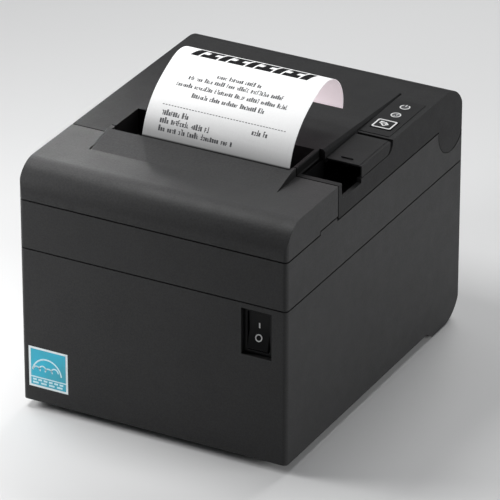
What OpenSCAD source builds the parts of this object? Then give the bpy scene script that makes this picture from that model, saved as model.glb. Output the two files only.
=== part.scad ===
// Receipt printer with a drop-in paper roll, a rear-hinged paper cover and an auto cutter.
// The origin is on the table under the middle of the body. The front faces -Y, +X is its right
// side as seen from the front, and +Z is up. Everything is in millimetres.

/* [Body] */
// Width of the body
body_w = 145; // [144:0.5:146]
// Depth of the body
body_d = 188; // [187:0.5:189]
// Height of the case's bottom edge above the table
case_z = 4.6; // [4.2:0.2:5]
// Height of the seam between the lower case and the middle case
low_seam = 87; // [86:0.5:88]
// Height of the seam under the two covers
high_seam = 112.8; // [112.4:0.2:113]
// Height of the top face along its sides
side_top = 130.6; // [130.2:0.2:131]
// How far the middle of the top stands above its sides
hump_h = 4.5; // [4:0.5:5]
// Wall thickness of the mouldings
wall = 2.4; // [2.2:0.1:2.6]
// Gap at each seam between two mouldings
seam = 0.7; // [0.5:0.1:0.8]
// Radius of the upright corners
corner_r = 2.3; // [2:0.1:2.5]
// Radius of the nose along the front of the top
nose_r = 14; // [13:0.5:15]
// Radius of the rear edge of the top
rear_r = 19.6; // [19.2:0.2:20]
// Radius of the rear bottom edge
heel_r = 18; // [17:0.5:18.5]

/* [Covers] */
// Radius of the round lobes that the paper cover turns on
lobe_r = 14; // [13.8:0.1:14]
// How far the front edge of the paper cover is behind the front of the body
cover_seam = 52; // [51.5:0.5:52]
// Half width of the paper slot
slot_x = 48.3; // [48:0.1:48.5]
// Thickness of the rib on each side of the slot
slot_rib = 1.7; // [1.6:0.1:1.8]
// Half width of the raised middle of the top
hump_x = 53; // [52.5:0.5:53.5]
// How much narrower the raised middle is on its left side
hump_step = 1.5; // [1.2:0.1:1.6]
// Size of the bevel along the long edges of the raised middle
hump_bevel = 1.2; // [1:0.1:1.4]

/* [Paper] */
// Width of the paper
paper_w = 80; // [79:0.5:80]
// How far the middle of the paper is to the right of the middle of the body
paper_x = 7.8; // [7.4:0.1:7.9]
// Radius of the part-used roll in the bucket
roll_r = 30; // [28:0.5:30]
// Largest roll that the bucket takes, as a radius with its clearance
bucket_r = 43; // [42.5:0.5:43]

/* [Drive] */
// Radius of the rubber platen roller
platen_r = 7.5; // [7.4:0.1:7.5]
// Tooth size of the feed gears, as the pitch diameter for one tooth
gear_module = 0.5; // [0.5:0.1:0.5]
// Teeth on the gear of the platen shaft
platen_teeth = 18; // [18:1:18]
// Teeth on the idler gear
idler_teeth = 60; // [60:1:60]
// Teeth on the pinion of the feed motor
motor_teeth = 22; // [22:1:22]
// Tooth size of the cutter's rack and pinion
rack_module = 0.8; // [0.8:0.1:0.8]
// Teeth on the pinion that drives the cutter blade
cutter_teeth = 15; // [15:1:15]

/* [Hidden] */
$fn = 48;

case_grey = [0.23, 0.23, 0.24];
deep_black = [0.07, 0.07, 0.075];
steel = [0.72, 0.73, 0.75];
rubber = [0.10, 0.10, 0.10];
paper_white = [0.96, 0.96, 0.95];

hx = body_w / 2;
hy = body_d / 2;
ix = hx - wall;
heel_z = 0.6;
hinge_y = hy - lobe_r;
hinge_z = high_seam - 1.5;
seam_y = -hy + cover_seam;
hump_top = side_top + hump_h;
rib_x = slot_x + slot_rib;
slot_rear = -20;
ramp_rear = -46;
ramp_front = -62;
hump_left = hump_step - hump_x;
hump_end = 62;
platen_y = -37.9;
platen_z = hinge_z;
paper_y = platen_y - platen_r - 0.2;
paper_t = 0.15;
gear_x = -56;
gear_w = 5.8;
frame_x = 47;
frame_t = 1.5;
bucket_y = 12;
bucket_z = 68;
bucket_x = 41.6;
roll_z = bucket_z - bucket_r + roll_r + 0.3;
recess_x = 52;
recess_y = 76;
recess_top = 44;
switch_x = 56.3;
switch_z = 71.8;
lever_y = 9;
lever_z = 125.6;
button_x = 61.5;
button_y = 28;
error_y = 40.3;
power_y = 50.3;
latch_y = -26;
latch_z = 113;
deck_x = paper_x + 43.7;
blade_z = 121.2;
head_pivot_y = -49.2;
head_pivot_z = 100;

// ---------- Shapes that repeat ----------

// Extrudes a (Y, Z) outline along X.
module along_x(x0, x1) {
    translate([x0, 0, 0]) rotate([90, 0, 90]) linear_extrude(x1 - x0) children();
}

// A box from its low corner to its high corner.
module block(low, high) {
    translate(low) cube(high - low);
}

module rod_x(x0, x1, y, z, r) {
    translate([x0, y, z]) rotate([0, 90, 0]) cylinder(r = r, h = x1 - x0);
}

module rod_y(y0, y1, x, z, r) {
    translate([x, y0, z]) rotate([-90, 0, 0]) cylinder(r = r, h = y1 - y0);
}

module rod_z(z0, z1, x, y, r) {
    translate([x, y, z0]) cylinder(r = r, h = z1 - z0);
}

// Moves its children to the middle of the paper, which is right of the body's middle.
module at_paper() {
    translate([paper_x, 0, 0]) children();
}

// Draws its children and their mirror image on the other side of the body.
module both_sides() {
    children();
    mirror([1, 0, 0]) children();
}

// A rectangle in (Y, Z) between two corners.
module rect(low, high) {
    translate(low) square(high - low);
}

// The body's plan, moved in by an inset.
module plan(inset) {
    w = body_w - 2 * inset;
    d = body_d - 2 * inset;
    r = max(corner_r - inset, 0.4);
    square([w - 2 * r, d], center = true);
    square([w, d - 2 * r], center = true);
    for (sx = [-1, 1], sy = [-1, 1])
        translate([sx * (w / 2 - r), sy * (d / 2 - r)]) circle(r);
}

module plan_solid(inset, z0, z1) {
    translate([0, 0, z0]) linear_extrude(z1 - z0) plan(inset);
}

// Side outline of the lower case, with the heel under its rear end.
module lower_outline(t) {
    bottom = case_z + t;
    rect([-hy + t, bottom], [hy - heel_r, low_seam]);
    polygon([[57 + t, bottom], [63 + t, heel_z + t], [hy - heel_r, heel_z + t],
        [hy - heel_r, bottom + 1], [57 + t, bottom + 1]]);
    translate([hy - heel_r, heel_z + heel_r]) circle(heel_r - t);
    rect([hy - heel_r, heel_z + heel_r], [hy - t, low_seam]);
}

// Side outline of the top, with its nose and its rounded rear edge.
module top_outline(t) {
    difference() {
        rect([-hy + t, high_seam - 6], [hy - t, side_top - t]);
        translate([-hy + nose_r, side_top - nose_r]) difference() {
            rect([-nose_r, 0], [0, nose_r]);
            circle(nose_r - t);
        }
        translate([hy - rear_r, side_top - rear_r]) difference() {
            rect([0, 0], [rear_r, rear_r]);
            circle(rear_r - t);
        }
    }
}

// Side outline of the raised middle of the top: level over the slot, then falling to the rear.
module hump_outline(t) {
    polygon([[seam_y - 8, side_top - 3 - t], [seam_y - 8, hump_top - t], [slot_rear, hump_top - t],
        [hump_end, side_top - t], [hump_end, side_top - 3 - t]]);
}

// Takes the corner off an edge that runs along Y. "side" is 1 for a right edge and -1 for a left one.
module edge_bevel(side, y0, y1) {
    spare = 0.1;
    translate([0, y0, 0]) rotate([-90, 0, 0]) linear_extrude(y1 - y0)
        polygon([[-side * (hump_bevel + spare), -spare], [side * spare, -spare],
            [side * spare, hump_bevel + spare]]);
}

// Bevels along the two long edges of the raised middle: up the ramp, level beside the slot, then falling.
module hump_bevels() {
    rise = atan(hump_h / (ramp_rear - ramp_front));
    fall = atan(hump_h / (hump_end - slot_rear));
    translate([hump_left, ramp_rear, hump_top]) rotate([rise, 0, 0]) edge_bevel(-1, -20, 0);
    translate([hump_left, ramp_rear, hump_top]) edge_bevel(-1, 0, slot_rear - ramp_rear);
    for (edge = [[-1, hump_left], [1, hump_x]])
        translate([edge[1], slot_rear, hump_top]) rotate([-fall, 0, 0]) edge_bevel(edge[0], 0, 90);
}

// Outline of a spur gear of tooth size "tooth", with one tooth on the angle "phase".
module gear_outline(tooth, teeth, phase) {
    pitch_r = tooth * teeth / 2;
    root_r = pitch_r - 1.15 * tooth;
    tip_r = pitch_r + 0.75 * tooth;
    step = 360 / teeth;
    root_a = step * 0.29;
    pitch_a = step * 0.215;
    tip_a = step * 0.11;
    circle(root_r);
    for (i = [0 : teeth - 1]) rotate(phase + i * step)
        polygon([
            (root_r - 0.1) * [cos(root_a), -sin(root_a)],
            pitch_r * [cos(pitch_a), -sin(pitch_a)],
            tip_r * [cos(tip_a), -sin(tip_a)],
            tip_r * [cos(tip_a), sin(tip_a)],
            pitch_r * [cos(pitch_a), sin(pitch_a)],
            (root_r - 0.1) * [cos(root_a), sin(root_a)]]);
}

// Distance between the centres of two gears in mesh.
function mesh_distance(a, b) = gear_module * (a + b) / 2 + 0.08;

// Phase that puts a gear in mesh with another that has a tooth on "phase", seen along "angle".
function mesh_phase(phase, teeth, angle, next_teeth) =
    let (turns = (angle - phase) * teeth / 360, part = turns - round(turns))
    angle + 180 + (part * 360 + 180) / next_teeth;

idler_angle = -118;
idler_y = platen_y + mesh_distance(platen_teeth, idler_teeth) * cos(idler_angle);
idler_z = platen_z + mesh_distance(platen_teeth, idler_teeth) * sin(idler_angle);
motor_angle = -140;
motor_y = idler_y + mesh_distance(idler_teeth, motor_teeth) * cos(motor_angle);
motor_z = idler_z + mesh_distance(idler_teeth, motor_teeth) * sin(motor_angle);
platen_phase = idler_angle;
idler_phase = mesh_phase(platen_phase, platen_teeth, idler_angle, idler_teeth);
motor_phase = mesh_phase(idler_phase, idler_teeth, motor_angle, motor_teeth);

// A cross-head screw that stands on its tip along +Z, with its head on top.
module screw(head_r, head_h, shank_r, shank_h) {
    difference() {
        union() {
            cylinder(r = shank_r, h = shank_h);
            translate([0, 0, shank_h]) cylinder(r = head_r, h = head_h);
        }
        for (a = [0, 90]) translate([0, 0, shank_h + head_h]) rotate(a)
            cube([head_r * 1.2, head_r * 0.24, head_h], center = true);
    }
}

// ---------- Lower case and what stands on its floor ----------

module recess_box(grow) {
    block([-recess_x - grow, recess_y - grow, -1], [recess_x + grow, hy + 1, recess_top + grow]);
}

module switch_pocket(grow) {
    block([switch_x - 8.1 - grow, -hy - 1, switch_z - 12.3 - grow],
        [switch_x + 8.1 + grow, -hy + 3.2 + grow, switch_z + 12.3 + grow]);
}

foot_places = [[-58, -80, case_z], [58, -80, case_z], [-62.5, 76, 2.2], [62.5, 76, 2.2]];
base_screw_places = [[-58, -62], [58, -62], [-58, 44], [58, 44]];
board_stud_places = [[-37, -66], [42, -66], [-37, 46], [42, 46]];

module lower_case() {
    color(case_grey) difference() {
        intersection() {
            along_x(-hx, hx) lower_outline(0);
            plan_solid(0, -1, low_seam - seam / 2);
        }
        difference() {
            intersection() {
                along_x(-ix, ix) lower_outline(wall);
                plan_solid(wall, 0, low_seam + 1);
            }
            recess_box(wall);
            switch_pocket(wall);
        }
        block([-44, -52, -1], [44, 36, 20]);
        recess_box(0);
        block([-48, recess_y - wall - 1, 12], [48, recess_y + 1, 36]);
        switch_pocket(0);
        block([switch_x - 6.6, -hy, switch_z - 10.8], [switch_x + 6.6, -hy + 9, switch_z + 10.8]);
        block([-68.9, -hy - 1, 12.5], [-47.1, -hy + 0.15, 34.4]);
        for (p = foot_places) if (p[2] < case_z) rod_z(-1, p[2], p[0], p[1], 6.2);
        for (p = base_screw_places) {
            rod_z(-1, case_z + 1, p[0], p[1], 3.3);
            rod_z(-1, 12, p[0], p[1], 1.6);
        }
    }
}

module bottom_plate() {
    color(steel) difference() {
        block([-66, -hy + 5, case_z + wall], [66, 52, case_z + wall + 1.2]);
        for (p = base_screw_places) rod_z(-1, 12, p[0], p[1], 1.6);
        for (x = [-28 : 14 : 28]) block([x - 4, -20, 0], [x + 4, 20, 12]);
    }
}

module rubber_feet() {
    color(rubber) for (p = foot_places) difference() {
        union() {
            rod_z(0.6, p[2], p[0], p[1], 6.2);
            rod_z(0, 0.6, p[0], p[1], 5.6);
        }
        rod_z(-1, 0.3, p[0], p[1], 3.2);
    }
}

module base_screws() {
    color(steel) for (p = base_screw_places)
        translate([p[0], p[1], 10.5]) mirror([0, 0, 1]) screw(3.1, 1, 1.5, 9.5 - case_z + 0.1);
}

module front_sticker() {
    color([0.27, 0.72, 0.80]) block([-68.9, -hy, 12.5], [-47.1, -hy + 0.15, 34.4]);
}

module frame_posts() {
    color(steel) at_paper() for (x = [-53, 53], y = [-80, -34]) difference() {
        translate([x, y, case_z + wall + 1.2]) cylinder(r = 3.2, h = 40 - case_z - wall - 1.2, $fn = 6);
        rod_z(30, 41, x, y, 1.2);
    }
}

module main_board() {
    color([0.05, 0.30, 0.16]) difference() {
        block([-41, -72, 12.6], [46, 70, 14.2]);
        for (p = board_stud_places) rod_z(10, 16, p[0], p[1], 1.6);
    }
}

module board_components() {
    for (x = [-34, -23]) color([0.12, 0.12, 0.35]) rod_z(14.2, 21, x, -42, 4.5);
    for (p = [[-30, -8, 14], [10, -14, 18], [30, 22, 12]]) color(deep_black)
        block([p[0] - p[2] / 2, p[1] - p[2] / 2, 14.2], [p[0] + p[2] / 2, p[1] + p[2] / 2, 16.4]);
    for (x = [-20, 0, 20]) color([0.90, 0.88, 0.80]) block([x - 6, -70, 14.2], [x + 6, -64, 20]);
    for (p = board_stud_places) color(steel) rod_z(case_z + wall + 1.2, 15.2, p[0], p[1], 1.6);
}

module head_cable() {
    t = 0.4;
    color([0.85, 0.85, 0.88]) at_paper() along_x(-14, 14) difference() {
        rect([-57, 20], [-52, 99]);
        rect([-58, 19], [-52 - t, 60]);
        rect([-57 + t, 60 + t], [-51, 99 + t]);
    }
}

// ---------- Rear interface ----------

module interface_plate() {
    color(steel) difference() {
        block([-54, recess_y - wall - 1.2, 9], [54, recess_y - wall, 41]);
        rod_y(60, 80, -36, 24, 7.8);
        block([-20.2, 60, 15.8], [-5.8, 80, 30.2]);
        block([3.8, 60, 17.8], [16.2, 80, 29.2]);
        block([23.8, 60, 15.8], [40.2, 80, 30.2]);
    }
}

module power_inlet() {
    color(deep_black) difference() {
        union() {
            rod_y(58, recess_y + 1.5, -36, 24, 7.6);
            block([-44, 54, 14.2], [-28, 66, 32]);
        }
        rod_y(67, recess_y + 2, -36, 24, 5.2);
    }
    color(steel) for (a = [90, 210, 330]) rod_y(66, 74, -36 + 2.6 * cos(a), 24 + 2.6 * sin(a), 0.8);
}

// A rectangular socket that opens to the rear.
module socket(x0, x1, z0, z1, rim) {
    difference() {
        block([x0, 58, z0], [x1, recess_y + 1.5, z1]);
        block([x0 + rim, 64, z0 + rim], [x1 - rim, recess_y + 2, z1 - rim]);
    }
}

module drawer_port() {
    color(deep_black) socket(-20, -6, 16, 30, 1.6);
}

module usb_port() {
    color(steel) socket(4, 16, 18, 29, 0.8);
}

module network_port() {
    color(steel) socket(24, 40, 16, 30, 1.2);
}

// ---------- Power switch ----------

module switch_housing() {
    z0 = switch_z - 10.7;
    z1 = switch_z + 10.7;
    y0 = -hy + 3.2;
    color(deep_black) difference() {
        union() {
            block([switch_x - 8, y0 - 0.9, switch_z - 12.2], [switch_x + 8, y0, switch_z + 12.2]);
            block([switch_x - 6.5, y0 - 0.9, z0], [switch_x + 6.5, y0 + 14, z1]);
        }
        block([switch_x - 5.9, y0 - 2, z0 + 0.8], [switch_x + 5.9, y0 + 10, z1 - 0.8]);
    }
    color(steel) for (z = [switch_z - 5, switch_z + 5])
        block([switch_x - 2, y0 + 14, z - 0.4], [switch_x + 2, y0 + 20, z + 0.4]);
    color(steel) rod_x(switch_x - 6, switch_x + 6, -hy + 5.4, switch_z, 1);
}

// The rocker is drawn with its upper half pressed in.
module power_rocker() {
    color(deep_black) difference() {
        translate([0, -hy + 5.4, switch_z]) along_x(switch_x - 5.6, switch_x + 5.6)
            rotate(-7) polygon([[-1.9, 0], [-3.4, -9.3], [1.6, -9.3], [3.6, -4], [3.6, 4],
                [1.6, 9.3], [-3.4, 9.3]]);
        rod_x(switch_x - 7, switch_x + 7, -hy + 5.4, switch_z, 1.06);
    }
}

// ---------- Middle case ----------

// The cut-out for a lobe, which widens a little towards the rear so the cover can swing back.
module lobe_cutout() {
    translate([hinge_y, hinge_z]) circle(lobe_r + 0.3);
    translate([hinge_y + 1, hinge_z]) circle(lobe_r + 0.3);
}

module middle_case() {
    z0 = low_seam + seam / 2;
    z1 = high_seam - seam / 2;
    color(case_grey) difference() {
        union() {
            plan_solid(0, z0, z1);
            both_sides() block([ix, seam_y - 18, z1 - 1], [hx, seam_y - 1, z1 + 1.8]);
        }
        plan_solid(wall, z0 - 1, z1 + 3);
        along_x(-hx - 1, hx + 1) lobe_cutout();
        along_x(-ix - 0.1, ix + 0.1) translate([hinge_y, hinge_z]) circle(lobe_r + 3.8);
        block([-hx - 1, hy - 5, hinge_z - 7.6], [hx + 1, hy + 1, high_seam + 5]);
    }
    color(case_grey) difference() {
        plan_solid(wall, low_seam - 3, z0 + 2);
        plan_solid(wall + 1.2, low_seam - 4, z0 + 3);
        block([switch_x - 11, -hy, low_seam - 4], [switch_x + 11, -hy + 8, z0]);
    }
    color(case_grey) both_sides() for (y = [-14, 46])
        block([64, y - 4, 96], [ix, y + 4, 104.2]);
}

module hinge_brackets() {
    color(case_grey) both_sides() difference() {
        union() {
            block([64.5, 57, 90], [ix, 65, 99]);
            along_x(64.5, 68.2) {
                translate([hinge_y, hinge_z]) circle(5);
                polygon([[57, 95], [62.5, 95], [62.5, 99], [hinge_y - 2.5, hinge_z - 4.33],
                    [hinge_y - 3, hinge_z + 4], [57, 102]]);
            }
        }
        rod_x(60, 75, hinge_y, hinge_z, 2.05);
    }
}

// ---------- Paper bucket ----------

module bucket_outline(r) {
    intersection() {
        translate([bucket_y, bucket_z]) circle(r);
        rect([-60, 0], [90, bucket_z]);
    }
}

module paper_bucket() {
    t = 1.8;
    top = 106;
    color(deep_black) difference() {
        union() {
            at_paper() along_x(-bucket_x - t, bucket_x + t) {
                bucket_outline(bucket_r + t);
                rect([bucket_y, bucket_z], [bucket_y + bucket_r + t, top]);
                rect([bucket_y - bucket_r - t, bucket_z], [bucket_y, 72]);
                rect([-20, bucket_z], [bucket_y, top]);
            }
            block([-ix + 0.3, -20, top - t], [ix - 0.3, 55.5, top]);
        }
        at_paper() along_x(-bucket_x, bucket_x) {
            bucket_outline(bucket_r);
            rect([bucket_y - bucket_r, bucket_z], [bucket_y + bucket_r, top + 1]);
        }
        for (x = [-67, 67], y = [-14, 46]) rod_z(100, 110, x, y, 1.6);
    }
}

module bucket_screws() {
    color(steel) for (x = [-67, 67], y = [-14, 46])
        translate([x, y, 104.3]) screw(2.6, 1.4, 1.4, 1.7);
}

module paper_sensor() {
    color(deep_black) at_paper() difference() {
        block([bucket_x + 1.8, 6, 34], [bucket_x + 9, 20, 46]);
        block([bucket_x + 4, 8, 36], [bucket_x + 10, 18, 44]);
    }
    color(steel) at_paper() rod_x(bucket_x + 4, bucket_x + 7, 13, 40, 2);
}

module paper_roll() {
    color(paper_white) at_paper() difference() {
        rod_x(-paper_w / 2, paper_w / 2, bucket_y, roll_z, roll_r);
        rod_x(-60, 60, bucket_y, roll_z, 9);
    }
}

module roll_core() {
    color([0.80, 0.72, 0.58]) at_paper() difference() {
        rod_x(-paper_w / 2, paper_w / 2, bucket_y, roll_z, 9);
        rod_x(-60, 60, bucket_y, roll_z, 6.4);
    }
}

// The web touches the roll and the platen on their front sides, so it runs along the outer
// tangent of the two circles.
module paper_web() {
    platen_gap = platen_r + 0.2;
    roll_gap = roll_r + 0.15;
    span = [bucket_y - platen_y, roll_z - platen_z];
    tangent = atan2(span[1], span[0]) - acos((platen_gap - roll_gap) / norm(span));
    normal = [cos(tangent), sin(tangent)];
    platen_c = [platen_y, platen_z];
    roll_c = [bucket_y, roll_z];
    arc = [for (i = [0 : 3]) tangent + (-180 - tangent) * i / 3];
    inner = concat([roll_c + roll_gap * normal],
        [for (a = arc) platen_c + platen_gap * [cos(a), sin(a)]],
        [[paper_y, blade_z - 3.2]]);
    outer = concat([[paper_y - paper_t, blade_z - 3.2]],
        [for (i = [3 : -1 : 0]) platen_c + (platen_gap + paper_t) * [cos(arc[i]), sin(arc[i])]],
        [roll_c + (roll_gap + paper_t) * normal]);
    color(paper_white) at_paper() along_x(-paper_w / 2, paper_w / 2) polygon(concat(inner, outer));
}

// ---------- Print mechanism ----------

// The two side plates with their feet, and the holes that both have.
module frame_sides(top) {
    both_sides() difference() {
        union() {
            along_x(frame_x, frame_x + frame_t) difference() {
                union() {
                    rect([-84, 40], [-22, 110]);
                    rect([-84, 100], [-47.5, top]);
                }
                translate([platen_y, platen_z]) circle(4.4);
                rect([platen_y - 4.4, platen_z], [platen_y + 4.4, 120]);
                rect([-34, 40], [-21, 60]);
            }
            block([frame_x, -84, 40], [frame_x + 11, -74, 41.5]);
            block([frame_x, -40, 40], [frame_x + 11, -34.5, 41.5]);
        }
        rod_x(40, 60, head_pivot_y, head_pivot_z, 1.56);
        rod_x(40, 60, motor_y, motor_z, 3.2);
    }
}

module mechanism_frame() {
    top = blade_z - 4;
    color(steel) at_paper() difference() {
        frame_sides(top);
        block([40, -85, 58], [60, -66, 92]);
    }
    color(steel) at_paper() block([-frame_x, -84, 40], [frame_x, -82.5, 58]);
    color(steel) at_paper() block([-frame_x, -59.6, 102], [frame_x, -58.2, top]);
    color(steel) at_paper() both_sides() rod_x(44.4, frame_x, -31.6, 104.5, 1.6);
    color(steel) at_paper() difference() {
        block([-frame_x, -84, 56.5], [frame_x, -60, 58]);
        block([-30, -80, 50], [30, -64, 60]);
    }
}

module print_head() {
    color([0.80, 0.81, 0.83]) at_paper() {
        block([-41, -51.4, 97.5], [41, -47.6, 114]);
        both_sides() rod_x(40, frame_x + frame_t, head_pivot_y, head_pivot_z, 1.5);
        for (z = [98.5 : 2.5 : 103.5]) block([-36, -53, z], [36, -51.2, z + 1]);
    }
    color([0.88, 0.86, 0.80]) at_paper() block([-41, -47.6, 104], [41, -46.6, 114]);
    color([0.25, 0.22, 0.18]) at_paper() block([-40, -46.6, platen_z - 1], [40, -46.2, platen_z + 1]);
}

// One coil spring along Y, swept as a ring of eight points round its helix.
module coil_spring(length, coil_r, wire_r, turns) {
    steps = 12 * turns;
    sides = 8;
    points = [for (i = [0 : steps], j = [0 : sides - 1])
        let (a = i * 30, b = j * 360 / sides, r = coil_r + wire_r * cos(b))
        [r * cos(a), wire_r + i * (length - 2 * wire_r) / steps + wire_r * sin(b), r * sin(a)]];
    walls = [for (i = [0 : steps - 1], j = [0 : sides - 1])
        let (k = (j + 1) % sides)
        [i * sides + j, i * sides + k, (i + 1) * sides + k, (i + 1) * sides + j]];
    ends = [[for (j = [sides - 1 : -1 : 0]) j], [for (j = [0 : sides - 1]) steps * sides + j]];
    polyhedron(points, concat(walls, ends), convexity = 10);
}

module head_springs() {
    color(steel) at_paper() for (x = [-26, 26]) translate([x, -58.2, 109.5]) coil_spring(6.78, 2.8, 0.4, 5);
}

module feed_motor() {
    color(steel) at_paper() difference() {
        union() {
            rod_x(-frame_x + 0.05, -27, motor_y, motor_z, 17.3);
            rod_x(-27, -25, motor_y, motor_z, 6);
        }
        rod_x(-50, -20, motor_y, motor_z, 1.56);
    }
}

module motor_pinion() {
    color([0.85, 0.72, 0.38]) at_paper() difference() {
        translate([0, motor_y, motor_z]) along_x(gear_x, gear_x + gear_w)
            gear_outline(gear_module, motor_teeth, motor_phase);
        rod_x(-60, -40, motor_y, motor_z, 1.5);
    }
    color(steel) at_paper() rod_x(gear_x - 1, -26, motor_y, motor_z, 1.5);
}

module idler_gear() {
    color([0.92, 0.91, 0.86]) at_paper() difference() {
        translate([0, idler_y, idler_z]) along_x(gear_x, gear_x + gear_w)
            gear_outline(gear_module, idler_teeth, idler_phase);
        rod_x(-60, -40, idler_y, idler_z, 2.05);
        for (a = [0 : 60 : 300]) rod_x(-60, -40, idler_y + 8.4 * cos(a), idler_z + 8.4 * sin(a), 3);
    }
}

module idler_axle() {
    color(steel) at_paper() rod_x(gear_x - 1.5, -frame_x - frame_t, idler_y, idler_z, 2);
    color(steel) at_paper() rod_x(gear_x - 2.5, gear_x - 0.3, idler_y, idler_z, 3.2);
}

module cover_switch() {
    color(deep_black) at_paper() block([frame_x + frame_t, -66, 96], [frame_x + frame_t + 6.4, -53, 106]);
    color([0.75, 0.20, 0.15]) at_paper()
        block([frame_x + frame_t + 2, -60, 106], [frame_x + frame_t + 4, -58, 107.5]);
}

// ---------- Cutter ----------

pinion_x = 13;
pinion_y = -70;
rack_x = pinion_x + rack_module * cutter_teeth / 2 + 0.04;

module cutter_frame() {
    z0 = blade_z - 4;
    color(steel) at_paper() difference() {
        union() {
            block([-frame_x - frame_t, -86, z0], [frame_x + frame_t, -48.6, z0 + 1.2]);
            both_sides() block([41, -86, z0 + 1.2], [42.4, -48.6, blade_z + 2]);
        }
        rod_z(z0 - 1, z0 + 3, pinion_x, pinion_y, 2.4);
        for (x = [-30, -12, 30]) block([x - 6, -80, z0 - 1], [x + 6, -62, z0 + 3]);
    }
}

module moving_blade() {
    color([0.82, 0.83, 0.85]) at_paper() translate([0, 0, blade_z]) linear_extrude(0.8)
        polygon([[-39.9, -84], [39.9, -84], [39.9, -47.2], [0, -54], [-39.9, -47.2]]);
    rack_z = blade_z - 2.6;
    pitch = rack_module * PI;
    color([0.82, 0.83, 0.85]) at_paper() translate([0, 0, rack_z]) linear_extrude(2.6) {
        translate([rack_x + 0.92, pinion_y - 13]) square([3.4, 18]);
        for (i = [-4 : 1]) translate([rack_x, pinion_y + (i + 0.5) * pitch])
            polygon([[1, -0.8], [0, -0.52], [-0.6, -0.28], [-0.6, 0.28], [0, 0.52], [1, 0.8]]);
    }
}

module cutter_pinion() {
    color([0.85, 0.72, 0.38]) at_paper() translate([pinion_x, pinion_y, blade_z - 2.6]) linear_extrude(2.4)
        gear_outline(rack_module, cutter_teeth, 0);
    color(steel) at_paper() rod_z(112, blade_z - 2.6, pinion_x, pinion_y, 1.5);
}

module cutter_motor() {
    color(deep_black) at_paper() difference() {
        block([4, -81, 100], [22, -62, 113]);
        rod_z(110, 114, pinion_x, pinion_y, 1.56);
    }
    color(steel) at_paper() rod_x(-24, 4, -71, 106, 7.5);
    color(steel) at_paper() rod_x(-27, -24, -71, 106, 2.5);
}

// ---------- Front cover ----------

module front_cover() {
    z0 = high_seam + seam / 2;
    y1 = seam_y - seam / 2;
    color(case_grey) difference() {
        intersection() {
            plan_solid(0, z0, hump_top + 1);
            union() {
                along_x(-hx, hx) intersection() {
                    top_outline(0);
                    rect([-hy - 1, z0], [y1, side_top + 1]);
                }
                along_x(hump_left, rib_x) polygon([[ramp_front, side_top - 1], [ramp_front, side_top],
                    [ramp_rear, hump_top], [y1, hump_top], [y1, side_top - 1]]);
            }
        }
        intersection() {
            plan_solid(wall, z0 - 1, side_top);
            along_x(-ix, ix) top_outline(wall);
        }
        along_x(-slot_x, slot_x) polygon([[ramp_front + 8, side_top - wall - 0.5],
            [ramp_rear - 2, hump_top - wall], [ramp_rear - 2, side_top - wall - 0.5]]);
        block([-slot_x, ramp_rear, high_seam - 1], [slot_x, seam_y + 1, hump_top + 1]);
        both_sides() block([ix - 1, seam_y - 18.4, z0 - 1], [hx + 1, seam_y + 1, z0 + 1.8]);
        hump_bevels();
    }
    color(case_grey) block([-slot_x, ramp_rear - 1.8, 125], [slot_x, ramp_rear, side_top]);
}

// ---------- Paper cover ----------

// Outline of the finger recess where it wraps over the side.
module recess_outline() {
    difference() {
        rect([seam_y + 3.4, 121.9], [-18.2, side_top + 1]);
        translate([seam_y + 3.4, 121.9]) difference() {
            square(3.5);
            translate([3.5, 3.5]) circle(3.5);
        }
    }
}

// Outline of the lever's opening, rounded at its lower rear corner.
module lever_opening() {
    difference() {
        rect([-18.3, 124.2], [15.3, side_top + 1]);
        translate([10.3, 129.2]) difference() {
            rect([0, -5], [5, 0]);
            circle(5);
        }
    }
}

module cover_outer() {
    z0 = high_seam + seam / 2;
    intersection() {
        plan_solid(0, high_seam - 20, hump_top + 1);
        union() {
            along_x(-hx, hx) intersection() {
                top_outline(0);
                rect([seam_y + seam / 2, z0], [hy, side_top + 1]);
            }
            along_x(-hx, hx) translate([hinge_y, hinge_z]) circle(lobe_r);
            along_x(hump_left, hump_x) intersection() {
                hump_outline(0);
                rect([seam_y + seam / 2, side_top - 3], [hy, hump_top + 1]);
            }
            along_x(-ix + 0.5, ix - 0.5) intersection() {
                translate([hinge_y, hinge_z]) circle(lobe_r + 3.4);
                rect([hinge_y + 6, hinge_z - 13], [hy, high_seam + 1]);
            }
        }
    }
}

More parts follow.
